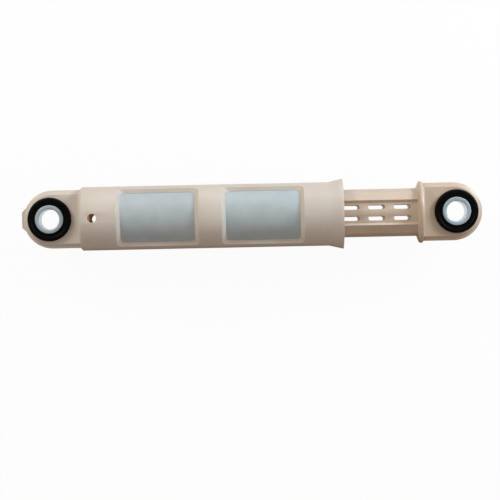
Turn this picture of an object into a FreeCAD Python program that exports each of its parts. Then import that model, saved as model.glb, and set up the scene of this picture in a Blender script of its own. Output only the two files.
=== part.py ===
"""Friction shock absorber for the tub of a washing machine, in millimetres.

The absorber lies along X. The origin is the middle of the bore in the housing's eye, Z runs along
that bore, and the plunger's eye is on the +X side. It is drawn partly pulled out.
"""

import FreeCAD, Part
import math
import os

V = FreeCAD.Vector
X_AXIS = V(1, 0, 0)
Y_AXIS = V(0, 1, 0)
Z_AXIS = V(0, 0, 1)
ORIGIN = V(0, 0, 0)

# Eyes: a steel sleeve in a rubber bush in a moulded lug, the same at both ends
EYE_SPACING = 231.0
BORE_DIAMETER = 11.5
SLEEVE_WALL = 2.25
SLEEVE_PROUD = 0.5
BUSH_WALL = 2.0
BUSH_LIP_REACH = 2.4
BUSH_LIP_THICKNESS = 2.5
LUG_WIDTH = 33.0
LUG_THICKNESS = 10.0
LUG_END_OFFSET = 1.6
LUG_BEVEL_WIDTH = 1.2
LUG_BEVEL_DEPTH = 2.4
LUG_LEDGE_WIDTH = 1.3
LUG_LEDGE_DEPTH = 0.6
LUG_ROOT_FILLET = 1.6
NUB_HEIGHT = 1.0
NUB_TIP_WIDTH = 8.7

# Tube: steel, with its end turned in at the mouth, where it guides the shaft and stops the head
TUBE_DIAMETER = 31.8
TUBE_WALL = 0.9
TUBE_START = 12.0
TUBE_FROM_MOUTH = 7.0

# Housing: a cage moulded round the tube, open at its flared mouth
BODY_START = 17.4
BODY_LENGTH = 149.3
BODY_WALL = 2.1
BODY_EDGE_BEVEL = 1.2
END_WALL = 4.0
TUBE_SHOULDER = 0.7
FLARE_RISE = 1.8
FLARE_LENGTH = 7.6
MOUTH_LAND = 0.6
VENT_DIAMETER = 5.0
VENT_POSITION = 7.5
WINDOW_COUNT = 2
WINDOW_START = 23.2
WINDOW_POST = 17.5
WINDOW_FROM_FLARE = 16.2
WINDOW_WIDTH = 27.6
WINDOW_CORNER = 3.0
WINDOW_SLOPE = 2.2

# Plunger: an eight-sided shaft with a channel on each broad side, a collar and a round head
SHAFT_INSET = 1.3
SHAFT_CORNER_ANGLES = (8.3, 31.5, 59.0)
CHANNEL_WALL_RUN = 1.3
CHANNEL_DEPTH = 1.3
CHANNEL_CROWN = 1.0
SLOT_ROWS = 2
SLOT_ROW_PITCH = 6.3
SLOT_WIDTH = 2.5
SLOT_LENGTH = 9.5
SLOT_PITCH = 14.5
SLOT_COUNT = 5
SLOT_FROM_EYE = 26.4
COLLAR_DIAMETER = 35.4
COLLAR_THICKNESS = 2.1
COLLAR_CONE = 1.4
COLLAR_EDGE = 0.5
COLLAR_FROM_EYE = 19.1
HEAD_LENGTH = 40.0
HEAD_FLANGE = 3.0
HEAD_FLANGE_GAP = 0.3
HEAD_CORE_DIAMETER = 23.2
PULL_OUT_TRAVEL = 32.0
STOP_GAP = 0.5
LINING_SLIT = 1.0

# Clearances
PRESSED_GAP = 0.05
TUBE_GAP = 0.1
SLIDING_GAP = 0.1
TURNING_GAP = 0.05
SHAFT_GAP = 0.3

# Places and radii worked out from the sizes above
tube_radius = TUBE_DIAMETER / 2
tube_bore_radius = tube_radius - TUBE_WALL
cage_bore_radius = tube_radius + TUBE_GAP
body_radius = cage_bore_radius + BODY_WALL
mouth_radius = body_radius + FLARE_RISE
mouth_x = BODY_START + BODY_LENGTH
land_x = mouth_x - MOUTH_LAND
flare_x = land_x - FLARE_LENGTH
window_run = flare_x - WINDOW_FROM_FLARE - BODY_START - WINDOW_START
window_length = (window_run - (WINDOW_COUNT - 1) * WINDOW_POST) / WINDOW_COUNT
window_pitch = window_length + WINDOW_POST
window_ledge_z = math.sqrt(cage_bore_radius**2 - (WINDOW_WIDTH / 2) ** 2)
window_ledge = math.sqrt(body_radius**2 - window_ledge_z**2) - WINDOW_WIDTH / 2
cavity_x = BODY_START + END_WALL
tube_x = BODY_START + TUBE_START
tube_end_x = mouth_x - TUBE_FROM_MOUTH
shaft_reach = tube_bore_radius - SHAFT_INSET
rolled_radius = shaft_reach + SHAFT_GAP
collar_end_x = EYE_SPACING - COLLAR_FROM_EYE
collar_x = collar_end_x - COLLAR_THICKNESS
cone_x = collar_x - COLLAR_CONE
head_end_x = tube_end_x - TUBE_WALL - STOP_GAP - PULL_OUT_TRAVEL
head_x = head_end_x - HEAD_LENGTH
head_core_radius = HEAD_CORE_DIAMETER / 2
flange_radius = tube_bore_radius - HEAD_FLANGE_GAP
groove_x = head_x + HEAD_FLANGE
groove_end_x = head_end_x - HEAD_FLANGE
bore_radius = BORE_DIAMETER / 2
sleeve_radius = bore_radius + SLEEVE_WALL
bush_bore_radius = sleeve_radius + TURNING_GAP
bush_neck_radius = bush_bore_radius + BUSH_WALL
bush_lip_radius = bush_neck_radius + BUSH_LIP_REACH
bush_top = LUG_THICKNESS / 2 + PRESSED_GAP + BUSH_LIP_THICKNESS
sleeve_top = bush_top + SLEEVE_PROUD
seat_radius = bush_neck_radius + PRESSED_GAP


def line(start, end):
    return Part.LineSegment(start, end).toShape()


def arc(start, middle, end):
    return Part.Arc(start, middle, end).toShape()


def chain(points):
    """Straight edges from each point to the next."""
    return [line(a, b) for a, b in zip(points, points[1:])]


def turned(edges, axis):
    """The solid that a closed outline sweeps in one full turn about an axis through the origin."""
    return Part.Face(Part.Wire(edges)).revolve(ORIGIN, axis, 360)


def along_x(x, radius):
    """A point of a profile that turns about X."""
    return V(x, radius, 0)


def along_z(radius, z):
    """A point of a profile that turns about Z."""
    return V(radius, 0, z)


def ring_x(start, end, inner, outer):
    """A plain ring about X."""
    corners = [along_x(start, inner), along_x(end, inner), along_x(end, outer), along_x(start, outer)]
    return turned(chain(corners + corners[:1]), X_AXIS)


def rod_x(start, end, radius):
    """A rod along X on the absorber's middle line."""
    return Part.makeCylinder(radius, end - start, V(start, 0, 0), X_AXIS)


def rod_z(x, y, radius, length):
    """A rod along Z, as long above the middle plane as below it."""
    return Part.makeCylinder(radius, length, V(x, y, -length / 2), Z_AXIS)


def lug_outline(root_x, end_x, side, inset, z):
    """The lug's outline at one height: straight flanks and a round end on the given side."""
    half = LUG_WIDTH / 2 - inset
    flank_top, end_top = V(root_x, half, z), V(end_x, half, z)
    flank_low, end_low = V(root_x, -half, z), V(end_x, -half, z)
    tip = V(end_x + side * half, 0, z)
    edges = [line(flank_top, end_top), arc(end_top, tip, end_low), line(end_low, flank_low)]
    return Part.Wire(edges + [line(flank_low, flank_top)])


def lug(root_x, eye_x, side):
    """A flat lug from its root to the round end past the eye, with a ledge and a bevel round each face."""
    end_x = eye_x - side * LUG_END_OFFSET
    face_z = LUG_THICKNESS / 2
    ledge_z = face_z - LUG_BEVEL_DEPTH
    flank_z = ledge_z - LUG_LEDGE_DEPTH
    upper = [(flank_z, 0), (ledge_z, LUG_LEDGE_WIDTH), (face_z, LUG_LEDGE_WIDTH + LUG_BEVEL_WIDTH)]
    heights = [(-z, inset) for z, inset in reversed(upper)] + upper
    return Part.makeLoft([lug_outline(root_x, end_x, side, inset, z) for z, inset in heights], True, True)


def lug_nub():
    """The small flat-topped nub on the round end of the housing's lug."""
    tip_x, root_x = LUG_END_OFFSET - LUG_WIDTH / 2 - NUB_HEIGHT, -seat_radius
    tip, root = NUB_TIP_WIDTH / 2, NUB_TIP_WIDTH / 2 + root_x - tip_x
    flank_z = LUG_THICKNESS / 2 - LUG_BEVEL_DEPTH - LUG_LEDGE_DEPTH
    corners = [(tip_x, tip), (tip_x, -tip), (root_x, -root), (root_x, root)]
    points = [V(x, y, -flank_z) for x, y in corners]
    return Part.Face(Part.Wire(chain(points + points[:1]))).extrude(V(0, 0, 2 * flank_z))


def barrel():
    """The housing's round body: a closed end, the seat of the tube and the flare."""
    shoulder_radius = cage_bore_radius - TUBE_SHOULDER
    profile = [
        along_x(BODY_START, 0),
        along_x(BODY_START, body_radius - BODY_EDGE_BEVEL),
        along_x(BODY_START + BODY_EDGE_BEVEL, body_radius),
        along_x(flare_x, body_radius),
        along_x(land_x, mouth_radius),
        along_x(mouth_x, mouth_radius),
        along_x(mouth_x, cage_bore_radius),
        along_x(tube_x, cage_bore_radius),
        along_x(tube_x, shoulder_radius),
        along_x(cavity_x, shoulder_radius),
        along_x(cavity_x, 0),
    ]
    return turned(chain(profile + profile[:1]), X_AXIS)


def window_spans():
    """Start and end of each window along X."""
    starts = [BODY_START + WINDOW_START + n * window_pitch for n in range(WINDOW_COUNT)]
    return [(x, x + window_length) for x in starts]


def window_corner(x, inward, across):
    """The material that rounds one lower corner of a window, in three flats along the sloped end."""
    shares = [(1.0, 0.0), (0.4, 0.11), (-0.12, 0.45), (-0.6, 1.0), (-1.2, 1.0), (-1.2, -0.3), (1.0, -0.3)]
    along = V(-inward * WINDOW_SLOPE, across * window_ledge, 0)
    foot = V(x, across * WINDOW_WIDTH / 2, window_ledge_z) - along
    points = [foot + V(inward * WINDOW_CORNER * run, 0, WINDOW_CORNER * rise) for run, rise in shares]
    return Part.Face(Part.Wire(chain(points + points[:1]))).extrude(along * 3)


def window_cut(start, end, side):
    """What one window takes away: a span of the wall with sloped ends, down to a level ledge at the tube."""
    low, high = cage_bore_radius - TUBE_GAP, body_radius + TUBE_GAP
    spill = WINDOW_SLOPE * TUBE_GAP / BODY_WALL
    wide = WINDOW_SLOPE + spill
    corners = [(start + spill, low), (end - spill, low), (end + wide, high), (start - wide, high)]
    points = [along_x(x, radius) for x, radius in corners]
    ring = turned(chain(points + points[:1]), X_AXIS)
    above = Part.makeBox(end - start + 2 * wide, 2 * high, high, V(start - wide, -high, window_ledge_z))
    kept = [window_corner(x, inward, across) for x, inward in ((start, 1), (end, -1)) for across in (1, -1)]
    cut = ring.common(above).cut(kept)
    return cut if side > 0 else cut.mirror(ORIGIN, Z_AXIS)


def lug_root(face_x, side):
    """Fillets that run each broad side of a lug into the flat face it stands on."""
    face_z, top_z = LUG_THICKNESS / 2, LUG_THICKNESS / 2 + LUG_ROOT_FILLET
    face_half = LUG_WIDTH / 2 - LUG_LEDGE_WIDTH - LUG_BEVEL_WIDTH
    top_half = face_half - LUG_ROOT_FILLET * LUG_BEVEL_WIDTH / LUG_BEVEL_DEPTH
    outer_x = face_x + side * LUG_ROOT_FILLET
    fillets = []
    for up in (1, -1):
        corners = [(face_half, face_z), (top_half, top_z), (-top_half, top_z), (-face_half, face_z)]
        points = [V(outer_x, y, up * z) for y, z in corners]
        block = Part.Face(Part.Wire(chain(points + points[:1]))).extrude(V(-side * LUG_ROOT_FILLET, 0, 0))
        hollow = Part.makeCylinder(LUG_ROOT_FILLET, LUG_WIDTH, V(outer_x, -LUG_WIDTH / 2, up * top_z), Y_AXIS)
        fillets.append(block.cut(hollow))
    return fillets


def housing():
    """The moulded housing: lug, closed round body with windows on two sides, vent and flared mouth."""
    end = [lug(BODY_START + END_WALL / 2, 0, -1), lug_nub()] + lug_root(BODY_START, -1)
    body = barrel().fuse(end).removeSplitter()
    cuts = [window_cut(start, end, side) for start, end in window_spans() for side in (1, -1)]
    cuts.append(rod_z(BODY_START + VENT_POSITION, 0, VENT_DIAMETER / 2, 2 * body_radius + 1))
    cuts.append(rod_z(0, 0, seat_radius, LUG_THICKNESS + 1))
    return body.cut(cuts)


def damper_tube():
    """The plated steel tube that the lining rubs on. It shows in the windows, and its end is turned in."""
    start_x = tube_x + TUBE_GAP
    profile = [
        along_x(start_x, tube_radius),
        along_x(tube_end_x, tube_radius),
        along_x(tube_end_x, rolled_radius),
        along_x(tube_end_x - TUBE_WALL, rolled_radius),
        along_x(tube_end_x - TUBE_WALL, tube_bore_radius),
        along_x(start_x, tube_bore_radius),
    ]
    return turned(chain(profile + profile[:1]), X_AXIS)


def shaft_section(x):
    """The shaft's outline across X: corners on one circle, and a crowned channel on each broad side."""
    angles = [math.radians(a) for a in SHAFT_CORNER_ANGLES]
    corners = [(shaft_reach * math.cos(a), shaft_reach * math.sin(a)) for a in angles]
    crest_y, crest_z = corners[-1]
    foot_y, foot_z = crest_y - CHANNEL_WALL_RUN, crest_z - CHANNEL_DEPTH
    quarter = corners + [(foot_y, foot_z)]
    crown = V(x, 0, foot_z + CHANNEL_CROWN)
    right = [V(x, y, z) for y, z in reversed(quarter)] + [V(x, y, -z) for y, z in quarter]
    left = [V(x, -p.y, -p.z) for p in right]
    floors = [arc(right[-1], V(x, 0, -crown.z), left[0]), arc(left[-1], crown, right[0])]
    return Part.Face(Part.Wire(chain(right) + floors[:1] + chain(left) + floors[1:]))


def shaft_slots():
    """The round-ended slots that core out the shaft, in rows along its channels."""
    slots = []
    depth = 2 * shaft_reach
    end_radius = SLOT_WIDTH / 2
    middle_length = SLOT_LENGTH - SLOT_WIDTH
    for row in range(SLOT_ROWS):
        y = (row - (SLOT_ROWS - 1) / 2) * SLOT_ROW_PITCH
        for n in range(SLOT_COUNT):
            x = EYE_SPACING - SLOT_FROM_EYE - n * SLOT_PITCH - SLOT_LENGTH + end_radius
            middle = Part.makeBox(middle_length, SLOT_WIDTH, depth, V(x, y - end_radius, -depth / 2))
            ends = [rod_z(x, y, end_radius, depth), rod_z(x + middle_length, y, end_radius, depth)]
            slots.append(middle.fuse(ends).removeSplitter())
    return slots


def plunger_head():
    """The round head: a groove for the lining between two flanges."""
    core = rod_x(head_x, head_end_x, head_core_radius)
    flanges = [rod_x(head_x, groove_x, flange_radius), rod_x(groove_end_x, head_end_x, flange_radius)]
    return core.fuse(flanges)


def collar():
    """The round collar: a cone off the shaft and a thin disc with a blunt rim."""
    rim_radius = COLLAR_DIAMETER / 2
    profile = [
        along_x(cone_x, 0),
        along_x(cone_x, shaft_reach),
        along_x(collar_x, rim_radius - COLLAR_EDGE),
        along_x(collar_x + COLLAR_THICKNESS / 2, rim_radius),
        along_x(collar_end_x, rim_radius - COLLAR_EDGE),
        along_x(collar_end_x, 0),
    ]
    return turned(chain(profile + profile[:1]), X_AXIS)


def plunger():
    """The moulded plunger: head, slotted shaft, collar and lug in one piece."""
    shaft = shaft_section(head_end_x).extrude(V(cone_x - head_end_x, 0, 0)).cut(shaft_slots())
    end = [lug(collar_end_x - COLLAR_THICKNESS / 2, EYE_SPACING, 1)] + lug_root(collar_end_x, 1)
    body = collar().fuse(end + [shaft, plunger_head()]).removeSplitter()
    return body.cut(rod_z(EYE_SPACING, 0, seat_radius, LUG_THICKNESS + 1))


def friction_lining():
    """The strip of lining wrapped into the head's groove, with a slit where its ends meet."""
    inner, outer = head_core_radius + SLIDING_GAP, tube_bore_radius - SLIDING_GAP
    ring = ring_x(groove_x + SLIDING_GAP, groove_end_x - SLIDING_GAP, inner, outer)
    return ring.cut(Part.makeBox(HEAD_LENGTH, 2 * outer, LINING_SLIT, V(head_x, 0, -LINING_SLIT / 2)))


def eye_bush(eye_x):
    """The rubber bush of an eye: a neck through the lug and a lip over each face."""
    lip_low = bush_top - BUSH_LIP_THICKNESS
    upper = [
        along_z(bush_neck_radius, lip_low),
        along_z(bush_lip_radius, lip_low),
        along_z(bush_lip_radius, bush_top),
        along_z(bush_bore_radius, bush_top),
    ]
    profile = upper + [along_z(p.x, -p.z) for p in reversed(upper)]
    return turned(chain(profile + profile[:1]), Z_AXIS).translated(V(eye_x, 0, 0))


def eye_sleeve(eye_x):
    """The steel sleeve of an eye: a plain length of tube."""
    length = 2 * sleeve_top
    return rod_z(eye_x, 0, sleeve_radius, length).cut(rod_z(eye_x, 0, bore_radius, length))


def main():
    pieces = {
        "housing": housing(),
        "damper_tube": damper_tube(),
        "plunger": plunger(),
        "friction_lining": friction_lining(),
        "housing_bush": eye_bush(0),
        "housing_sleeve": eye_sleeve(0),
        "plunger_bush": eye_bush(EYE_SPACING),
        "plunger_sleeve": eye_sleeve(EYE_SPACING),
    }
    os.makedirs("parts", exist_ok=True)
    for name, shape in pieces.items():
        shape.exportStep(f"parts/{name}.step")


main()
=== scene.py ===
"""Finish, light and camera for the washing machine shock absorber, in metres, in the frame of the solids."""

import math

import bpy
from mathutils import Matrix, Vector


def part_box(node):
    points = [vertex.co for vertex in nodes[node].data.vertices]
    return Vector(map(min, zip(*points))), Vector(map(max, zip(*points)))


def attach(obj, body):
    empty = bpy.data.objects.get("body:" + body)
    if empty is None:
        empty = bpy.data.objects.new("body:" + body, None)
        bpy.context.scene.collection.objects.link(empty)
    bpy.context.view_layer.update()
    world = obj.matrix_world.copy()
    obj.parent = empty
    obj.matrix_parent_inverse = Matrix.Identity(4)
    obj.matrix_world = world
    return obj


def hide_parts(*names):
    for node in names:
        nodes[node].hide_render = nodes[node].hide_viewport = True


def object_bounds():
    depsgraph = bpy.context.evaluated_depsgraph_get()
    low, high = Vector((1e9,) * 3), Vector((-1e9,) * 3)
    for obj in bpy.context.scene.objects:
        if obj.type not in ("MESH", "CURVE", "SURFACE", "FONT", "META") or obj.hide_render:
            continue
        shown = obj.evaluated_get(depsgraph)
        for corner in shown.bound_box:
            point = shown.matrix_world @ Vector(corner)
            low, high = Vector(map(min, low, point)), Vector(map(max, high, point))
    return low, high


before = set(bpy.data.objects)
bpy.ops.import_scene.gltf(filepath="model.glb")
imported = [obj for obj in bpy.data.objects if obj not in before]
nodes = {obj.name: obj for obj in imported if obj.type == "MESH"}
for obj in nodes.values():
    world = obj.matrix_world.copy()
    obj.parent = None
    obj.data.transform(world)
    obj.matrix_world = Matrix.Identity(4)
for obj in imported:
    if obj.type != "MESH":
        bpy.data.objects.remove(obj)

cad_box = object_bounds()
MM = 0.001

# Camera: straight above, turned so that the absorber rises a little to the right; its sensor in millimetres
PHOTO_WIDTH_PX = 500
PIXEL = 0.570 * MM
CAMERA_HEIGHT_PX = 1950
CAMERA_TURN = math.radians(1.19)
VIEW_CENTRE = (113.4 * MM, -19.65 * MM)
SENSOR_WIDTH = 36.0

# Eyes: the bushes and sleeves follow the solids, with rounded lips, a sunk ring and rounded ends
SLEEVE_WALL = 2.25 * MM
SLEEVE_INNER_ROUND = 0.9 * MM
SLEEVE_OUTER_ROUND = 0.35 * MM
BORE_MARGIN = 0.01 * MM
BUSH_GAP = 0.05 * MM
LIP_REACH = 2.4 * MM
LIP_THICKNESS = 2.5 * MM
LIP_ROUND = 1.2 * MM
LIP_UNDER_ROUND = 0.3 * MM
RING_WIDTH = 1.9 * MM
RING_DEPTH = 0.5 * MM
RING_ROUND = 0.4 * MM
ROUND_STEPS = 6
TURN_STEPS = 96
SMOOTH_ANGLE = math.radians(32)

# Soft edges of the two mouldings
WELD_GAP = 0.001 * MM
FLAT_ANGLE = math.radians(0.4)
EDGE_ROUND = 0.35 * MM
EDGE_STEPS = 2
EDGE_ANGLE = math.radians(28)

# Finishes: the part of a pattern's 0 to 1 range in which a shade runs from deep to pale
SHADE_RANGE = (0.3, 0.7)
RUBBER_RANGE = (0.35, 0.7)
FOAM_RANGE = (0.1, 0.7)

# Light carried by the plastic under its skin as red, green and blue; a painted glow in the housing's bore
# and in the slots
SKIN_SHARE = 0.2
SKIN_DEPTH = (2.2 * MM, 0.9 * MM, 0.45 * MM)
HOUSING_BORE = 16.05 * MM
HOUSING_START = 18.0 * MM
SLOT_DEPTH = 10.2 * MM
SLOT_SPREAD = 5.2 * MM
SHAFT_END = 208.0 * MM

# The axes that count in a distance from the origin
ALONG = (1, 0, 0)
ACROSS = (0, 1, 0)
THROUGH = (0, 0, 1)
OUTWARD = (0, 1, 1)

# Floor and light: a low lamp beyond each upper corner of the picture, a panel for sheen, and a warm dome
FLOOR_SIZE = 6.0
FLOOR_GAP = 0.3 * MM
# The floor's colour to bounced light is a painted shade, dark and warm
FLOOR_PAINTED_SHADE = (0.30, 0.17, 0.09, 1)
FLOOR_WHITE = (0.95, 0.95, 0.95, 1)
FLOOR_GLOW = 0.95
# Glossy rays see the floor white only above this edge, and the painted shade below it
FLOOR_SHINE_EDGE = -16.0 * MM
GLOW_WHITE = (1, 1, 1, 1)
LAMP_DISTANCE = 0.7
RIGHT_LAMP = {"azimuth": 58, "elevation": 20, "size": 0.22, "power": 3.5, "colour": (0.80, 0.91, 1.0)}
LEFT_LAMP = {"azimuth": -48, "elevation": 26, "size": 0.22, "power": 1.75, "colour": (1.0, 0.98, 0.90)}
SHEEN_PANEL = {"azimuth": 4, "elevation": 14, "size": 0.5, "power": 2.2, "colour": (0.97, 0.99, 1.0)}
DOME_COLOUR = (0.424, 0.384, 0.342, 1)


def srgb(red, green, blue):
    """A colour given as 0 to 255 on screen, as the linear values that a shader takes."""
    linear = []
    for value in (red / 255, green / 255, blue / 255):
        linear.append(value / 12.92 if value <= 0.04045 else ((value + 0.055) / 1.055) ** 2.4)
    return (*linear, 1.0)


def new_material(name):
    """A node material with a Principled shader."""
    material = bpy.data.materials.new(name)
    material.use_nodes = True
    tree = material.node_tree
    return material, tree, tree.nodes["Principled BSDF"]


def set_inputs(node, **values):
    """Sets constants on a node's own inputs, named with _ for a space."""
    for key, value in values.items():
        node.inputs[key.replace("_", " ")].default_value = value


def feed(tree, value, socket):
    """Sets a number on a socket, or links another node's output to it."""
    if isinstance(value, (int, float)):
        socket.default_value = value
    else:
        tree.links.new(value, socket)


def calculate(tree, operation, first, second):
    """The result of a Math node on two values, each a number or another node's output."""
    node = tree.nodes.new("ShaderNodeMath")
    node.operation = operation
    feed(tree, first, node.inputs[0])
    feed(tree, second, node.inputs[1])
    return node.outputs["Value"]


def object_place(tree):
    """The place of a point in the object's own space."""
    return tree.nodes.new("ShaderNodeTexCoord").outputs["Object"]


def noise(tree, scale, detail=3.0, stretch=(1, 1, 1)):
    """Noise in the object's own space, with its scale in cells per metre."""
    mapping = tree.nodes.new("ShaderNodeMapping")
    texture = tree.nodes.new("ShaderNodeTexNoise")
    set_inputs(mapping, Scale=stretch)
    set_inputs(texture, Scale=scale, Detail=detail)
    tree.links.new(object_place(tree), mapping.inputs["Vector"])
    tree.links.new(mapping.outputs["Vector"], texture.inputs["Vector"])
    return texture.outputs["Fac"]


def colour_shader(tree, shader, source, deep, pale, limits=SHADE_RANGE):
    """Base colour that runs from deep to pale as a 0 to 1 value crosses the limits."""
    ramp = tree.nodes.new("ShaderNodeValToRGB")
    for element, place, colour in zip(ramp.color_ramp.elements, limits, (deep, pale)):
        element.position = place
        element.color = colour
    tree.links.new(source, ramp.inputs["Fac"])
    tree.links.new(ramp.outputs["Color"], shader.inputs["Base Color"])


def roughen_shader(tree, shader, source, low, high):
    """Roughness that runs from low to high with a 0 to 1 value."""
    spread = tree.nodes.new("ShaderNodeMapRange")
    set_inputs(spread, To_Min=low, To_Max=high)
    tree.links.new(source, spread.inputs["Value"])
    tree.links.new(spread.outputs["Result"], shader.inputs["Roughness"])


def bump(tree, height, strength, depth, target):
    """A bump on a target's normal, its depth in metres; its node can be the target of another bump."""
    node = tree.nodes.new("ShaderNodeBump")
    set_inputs(node, Strength=strength, Distance=depth)
    tree.links.new(height, node.inputs["Height"])
    tree.links.new(node.outputs["Normal"], target.inputs["Normal"])
    return node


def inside(tree, limits):
    """1 where a point meets every limit, else 0; limits are (axes that count, comparison, distance)."""
    place = object_place(tree)
    tests = []
    for axes, comparison, distance in limits:
        flat = tree.nodes.new("ShaderNodeVectorMath")
        flat.operation = "MULTIPLY"
        flat.inputs[1].default_value = axes
        length = tree.nodes.new("ShaderNodeVectorMath")
        length.operation = "LENGTH"
        tree.links.new(place, flat.inputs[0])
        tree.links.new(flat.outputs["Vector"], length.inputs[0])
        tests.append(calculate(tree, comparison, length.outputs["Value"], distance))
    met = tests[0]
    for test in tests[1:]:
        met = calculate(tree, "MULTIPLY", met, test)
    return met


def moulded_plastic(name, deep, pale, gloss, glow, painted_glow_places):
    """Satin moulded plastic: faint clouding, a fine grain, light carried under its skin, and a painted glow
    inside.
    """
    material, tree, shader = new_material(name)
    colour_shader(tree, shader, noise(tree, scale=70, detail=4.0), deep, pale)
    roughen_shader(tree, shader, noise(tree, scale=300), low=0.36, high=0.48)
    set_inputs(shader, Subsurface_Weight=SKIN_SHARE, Subsurface_Radius=SKIN_DEPTH, Subsurface_Scale=1.0)
    set_inputs(shader, Specular_IOR_Level=gloss, Emission_Color=glow)
    # Painted glow: the hollows give off a warm light of their own
    tree.links.new(inside(tree, painted_glow_places), shader.inputs["Emission Strength"])
    waves = bump(tree, noise(tree, scale=160), strength=0.2, depth=0.1 * MM, target=shader)
    bump(tree, noise(tree, scale=2600), strength=0.25, depth=0.03 * MM, target=waves)
    return material


def cream_plastic():
    """The housing's plastic, with a painted glow in its bore."""
    # glow is the colour of the painted glow in the bore
    deep, pale, glow = srgb(215, 206, 197), srgb(220, 212, 204), srgb(70, 40, 16)
    bore = [(OUTWARD, "LESS_THAN", HOUSING_BORE), (ALONG, "GREATER_THAN", HOUSING_START)]
    return moulded_plastic("cream_plastic", deep, pale, gloss=0.3, glow=glow, painted_glow_places=bore)


def tan_plastic():
    """The plunger's plastic, browner and glossier, with a painted glow in its slots."""
    # glow is the colour of the painted glow in the slots
    deep, pale, glow = srgb(206, 186, 167), srgb(211, 193, 175), srgb(60, 38, 20)
    slots = [
        (THROUGH, "LESS_THAN", SLOT_DEPTH),
        (ACROSS, "LESS_THAN", SLOT_SPREAD),
        (ALONG, "LESS_THAN", SHAFT_END),
    ]
    return moulded_plastic("tan_plastic", deep, pale, gloss=0.6, glow=glow, painted_glow_places=slots)


def plated_steel():
    """Zinc-plated steel with fine lines along the tube."""
    material, tree, shader = new_material("plated_steel")
    lines = noise(tree, scale=2500, detail=2.0, stretch=(0.03, 1, 1))
    clouds = noise(tree, scale=130, detail=4.0)
    colour_shader(tree, shader, clouds, srgb(180, 191, 198), srgb(189, 200, 206))
    roughen_shader(tree, shader, lines, low=0.55, high=0.70)
    set_inputs(shader, Metallic=0.1, Specular_IOR_Level=0.2)
    bump(tree, lines, strength=0.12, depth=0.02 * MM, target=shader)
    return material


def sleeve_steel():
    """The same plating on the sleeves, turned smooth."""
    material, tree, shader = new_material("sleeve_steel")
    clouds = noise(tree, scale=220, detail=4.0)
    colour_shader(tree, shader, clouds, srgb(168, 188, 200), srgb(182, 200, 211))
    roughen_shader(tree, shader, noise(tree, scale=900), low=0.34, high=0.50)
    set_inputs(shader, Metallic=0.4)
    bump(tree, noise(tree, scale=1500), strength=0.1, depth=0.02 * MM, target=shader)
    return material


def bore_steel():
    """Bare satin steel in the bore of the sleeves."""
    material, tree, shader = new_material("bore_steel")
    clouds = noise(tree, scale=220, detail=4.0)
    colour_shader(tree, shader, clouds, srgb(222, 229, 235), srgb(230, 236, 241))
    roughen_shader(tree, shader, noise(tree, scale=900), low=0.38, high=0.46)
    set_inputs(shader, Metallic=0.8)
    return material


def black_rubber():
    """Black rubber with a faint, uneven sheen."""
    material, tree, shader = new_material("black_rubber")
    clouds = noise(tree, scale=240, detail=4.0)
    colour_shader(tree, shader, clouds, srgb(1, 1, 2), srgb(3, 3, 4), RUBBER_RANGE)
    roughen_shader(tree, shader, noise(tree, scale=700), low=0.34, high=0.50)
    set_inputs(shader, Specular_IOR_Level=0.09)
    bump(tree, noise(tree, scale=3000), strength=0.2, depth=0.03 * MM, target=shader)
    return material


def lining_foam():
    """Open dark foam, greased."""
    material, tree, shader = new_material("lining_foam")
    texture = tree.nodes.new("ShaderNodeTexVoronoi")
    set_inputs(texture, Scale=1800.0)
    cells = texture.outputs["Distance"]
    colour_shader(tree, shader, cells, srgb(58, 55, 50), srgb(112, 108, 101), FOAM_RANGE)
    roughen_shader(tree, shader, noise(tree, scale=900), low=0.50, high=0.70)
    bump(tree, cells, strength=0.6, depth=0.2 * MM, target=shader)
    return material


def mix_shaders(tree, share, first, second):
    """Two shaders mixed; share is how much of the second, a number or another node's output."""
    node = tree.nodes.new("ShaderNodeMixShader")
    feed(tree, share, node.inputs["Fac"])
    tree.links.new(first, node.inputs[1])
    tree.links.new(second, node.inputs[2])
    return node.outputs["Shader"]


def diffuse(tree, colour):
    """A matt shader of one colour."""
    node = tree.nodes.new("ShaderNodeBsdfDiffuse")
    set_inputs(node, Color=colour)
    return node.outputs["BSDF"]


def floor_white():
    """White to camera and transmission rays, and to glossy rays above the shine's edge; to others a painted
    shade, dark and warm.
    """
    material, tree, shader = new_material("floor_white")
    tree.nodes.remove(shader)
    path = tree.nodes.new("ShaderNodeLightPath").outputs
    split = tree.nodes.new("ShaderNodeSeparateXYZ")
    tree.links.new(object_place(tree), split.inputs["Vector"])
    upper = calculate(tree, "GREATER_THAN", split.outputs["Y"], FLOOR_SHINE_EDGE)
    shine = calculate(tree, "MULTIPLY", path["Is Glossy Ray"], upper)
    seen = calculate(tree, "MAXIMUM", path["Is Camera Ray"], shine)
    seen_or_through = calculate(tree, "MAXIMUM", seen, path["Is Transmission Ray"])
    glow = tree.nodes.new("ShaderNodeEmission")
    set_inputs(glow, Color=GLOW_WHITE, Strength=1.0)
    white = mix_shaders(tree, FLOOR_GLOW, diffuse(tree, FLOOR_WHITE), glow.outputs["Emission"])
    # Painted shade: bounced light, and reflections of the floor below the edge, are dark and warm
    surface = mix_shaders(tree, seen_or_through, diffuse(tree, FLOOR_PAINTED_SHADE), white)
    tree.links.new(surface, tree.nodes["Material Output"].inputs["Surface"])
    return material


def dress(obj, material):
    """Gives an object one material all over."""
    obj.data.materials.clear()
    obj.data.materials.append(material)


def soft_edges(obj):
    """Rounds a moulding's edges, with modifiers only."""
    weld = obj.modifiers.new("weld", "WELD")
    weld.merge_threshold = WELD_GAP
    flat = obj.modifiers.new("flat faces", "DECIMATE")
    flat.decimate_type = "DISSOLVE"
    flat.angle_limit = FLAT_ANGLE
    edge = obj.modifiers.new("soft edges", "BEVEL")
    edge.width = EDGE_ROUND
    edge.segments = EDGE_STEPS
    edge.limit_method = "ANGLE"
    edge.angle_limit = EDGE_ANGLE


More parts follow.
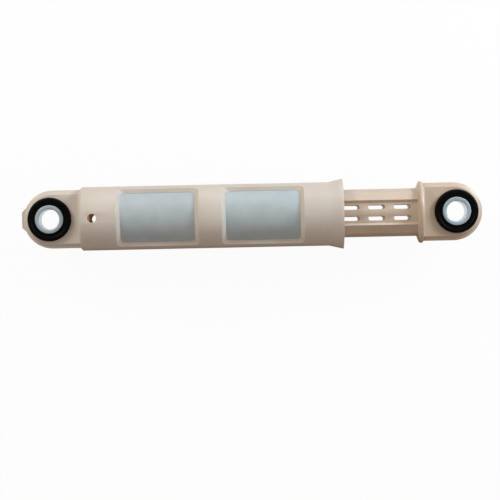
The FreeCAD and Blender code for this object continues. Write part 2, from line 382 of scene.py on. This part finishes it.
def rounded(corners):
    """A profile of (r, z, round) corners with each corner rounded by an arc of that radius."""
    points = []
    count = len(corners)
    for n, (r, z, radius) in enumerate(corners):
        here = Vector((r, z))
        before = Vector(corners[n - 1][:2]) - here
        after = Vector(corners[(n + 1) % count][:2]) - here
        if radius == 0:
            points.append(here)
            continue
        half = before.angle(after) / 2
        reach = radius / math.tan(half)
        start = here + before.normalized() * reach
        middle = here + (before.normalized() + after.normalized()).normalized() * (radius / math.sin(half))
        first = start - middle
        turn = math.pi - 2 * half
        side = 1 if before.x * after.y - before.y * after.x < 0 else -1
        for step in range(ROUND_STEPS + 1):
            angle = side * turn * step / ROUND_STEPS
            cos, sin = math.cos(angle), math.sin(angle)
            points.append(middle + Vector((first.x * cos - first.y * sin, first.x * sin + first.y * cos)))
    return points


def lathe(name, points, centre):
    """An object: a closed profile of (r, z) points turned about an upright line."""
    verts, faces = [], []
    count = len(points)
    for step in range(TURN_STEPS):
        angle = 2 * math.pi * step / TURN_STEPS
        out = Vector((math.cos(angle), math.sin(angle), 0))
        here = step * count
        ahead = (step + 1) % TURN_STEPS * count
        for n, point in enumerate(points):
            after = (n + 1) % count
            verts.append(centre + out * point.x + Vector((0, 0, point.y)))
            faces.append((here + n, ahead + n, ahead + after, here + after))
    mesh = bpy.data.meshes.new(name)
    mesh.from_pydata(verts, [], faces)
    mesh.update()
    obj = bpy.data.objects.new(name, mesh)
    bpy.context.scene.collection.objects.link(obj)
    return obj


def shade_smooth(obj):
    """Smooth shading, broken at sharp edges."""
    for polygon in obj.data.polygons:
        polygon.use_smooth = True
    obj.data.set_sharp_from_angle(angle=SMOOTH_ANGLE)


def node_middle(name):
    """The middle of a node's box, and half its size."""
    low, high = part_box(name)
    return (Vector(low) + Vector(high)) / 2, (Vector(high) - Vector(low)) / 2


def make_bush(node, body, sleeve, rubber):
    """A rubber bush with rounded lips and a sunk ring next to the sleeve."""
    middle, half = node_middle(node)
    bore = node_middle(sleeve)[1].x + BUSH_GAP
    lip_low = half.z - LIP_THICKNESS
    neck = half.x - LIP_REACH
    upper = [
        (neck, lip_low, 0),
        (half.x, lip_low, LIP_UNDER_ROUND),
        (half.x, half.z, LIP_ROUND),
        (bore + RING_WIDTH + RING_DEPTH, half.z, RING_ROUND),
        (bore + RING_WIDTH, half.z - RING_DEPTH, RING_ROUND),
        (bore, half.z - RING_DEPTH, 0),
    ]
    lower = [(r, -z, radius) for r, z, radius in reversed(upper)]
    piece = lathe(node + "_rubber", rounded(upper + lower), middle)
    shade_smooth(piece)
    dress(piece, rubber)
    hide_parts(node)
    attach(piece, body)


def make_sleeve(node, plating, bare_steel):
    """A plated steel sleeve with rounded ends and a bare bore."""
    middle, half = node_middle(node)
    bore = half.x - SLEEVE_WALL
    corners = [
        (bore, half.z, SLEEVE_INNER_ROUND),
        (bore, -half.z, SLEEVE_INNER_ROUND),
        (half.x, -half.z, SLEEVE_OUTER_ROUND),
        (half.x, half.z, SLEEVE_OUTER_ROUND),
    ]
    piece = lathe(node + "_steel", rounded(corners), middle)
    shade_smooth(piece)
    dress(piece, plating)
    piece.data.materials.append(bare_steel)
    for polygon in piece.data.polygons:
        reach = polygon.center - middle
        if math.hypot(reach.x, reach.y) < bore + BORE_MARGIN:
            polygon.material_index = 1
    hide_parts(node)
    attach(piece, node)


def make_object():
    """Finishes every node of the absorber."""
    dress(nodes["housing"], cream_plastic())
    dress(nodes["plunger"], tan_plastic())
    dress(nodes["damper_tube"], plated_steel())
    dress(nodes["friction_lining"], lining_foam())
    rubber = black_rubber()
    plating = sleeve_steel()
    bare_steel = bore_steel()
    for name in ("housing", "plunger"):
        soft_edges(nodes[name])
        make_bush(name + "_bush", name, name + "_sleeve", rubber)
        make_sleeve(name + "_sleeve", plating, bare_steel)


def make_floor():
    """A wide floor just under the absorber."""
    bpy.ops.mesh.primitive_plane_add(size=FLOOR_SIZE, location=(0, 0, cad_box[0][2] - FLOOR_GAP))
    floor = bpy.context.object
    floor.name = "floor"
    dress(floor, floor_white())


def make_camera():
    """A long lens straight above, framed as the photograph is."""
    height = CAMERA_HEIGHT_PX * PIXEL
    data = bpy.data.cameras.new("camera")
    data.sensor_width = SENSOR_WIDTH
    data.lens = SENSOR_WIDTH * height / (PHOTO_WIDTH_PX * PIXEL)
    camera = bpy.data.objects.new("camera", data)
    camera.location = (*VIEW_CENTRE, height)
    camera.rotation_euler = (0, 0, -CAMERA_TURN)
    bpy.context.scene.collection.objects.link(camera)
    bpy.context.scene.camera = camera


def make_world():
    """An even dome, a little warm."""
    world = bpy.data.worlds.new("studio")
    world.use_nodes = True
    set_inputs(world.node_tree.nodes["Background"], Color=DOME_COLOUR)
    bpy.context.scene.world = world


def low_lamp(name, azimuth, elevation, size, power, colour):
    """A soft square lamp that faces the absorber; azimuth is in degrees from +Y towards +X."""
    around, up = math.radians(azimuth), math.radians(elevation)
    way = Vector((math.cos(up) * math.sin(around), math.cos(up) * math.cos(around), math.sin(up)))
    data = bpy.data.lights.new(name, "AREA")
    data.size = size
    data.energy = power
    data.color = colour
    lamp = bpy.data.objects.new(name, data)
    lamp.location = (Vector(cad_box[0]) + Vector(cad_box[1])) / 2 + way * LAMP_DISTANCE
    lamp.rotation_euler = (-way).to_track_quat("-Z", "Y").to_euler()
    bpy.context.scene.collection.objects.link(lamp)
    return lamp


def make_lights():
    """A low lamp on each side, the right one cooler and stronger, and a panel that only gives a sheen."""
    low_lamp("right", **RIGHT_LAMP)
    low_lamp("left", **LEFT_LAMP)
    panel = low_lamp("sheen", **SHEEN_PANEL)
    panel.visible_diffuse = False


make_object()
make_floor()
make_camera()
make_world()
make_lights()
bpy.context.scene.view_settings.view_transform = "Standard"
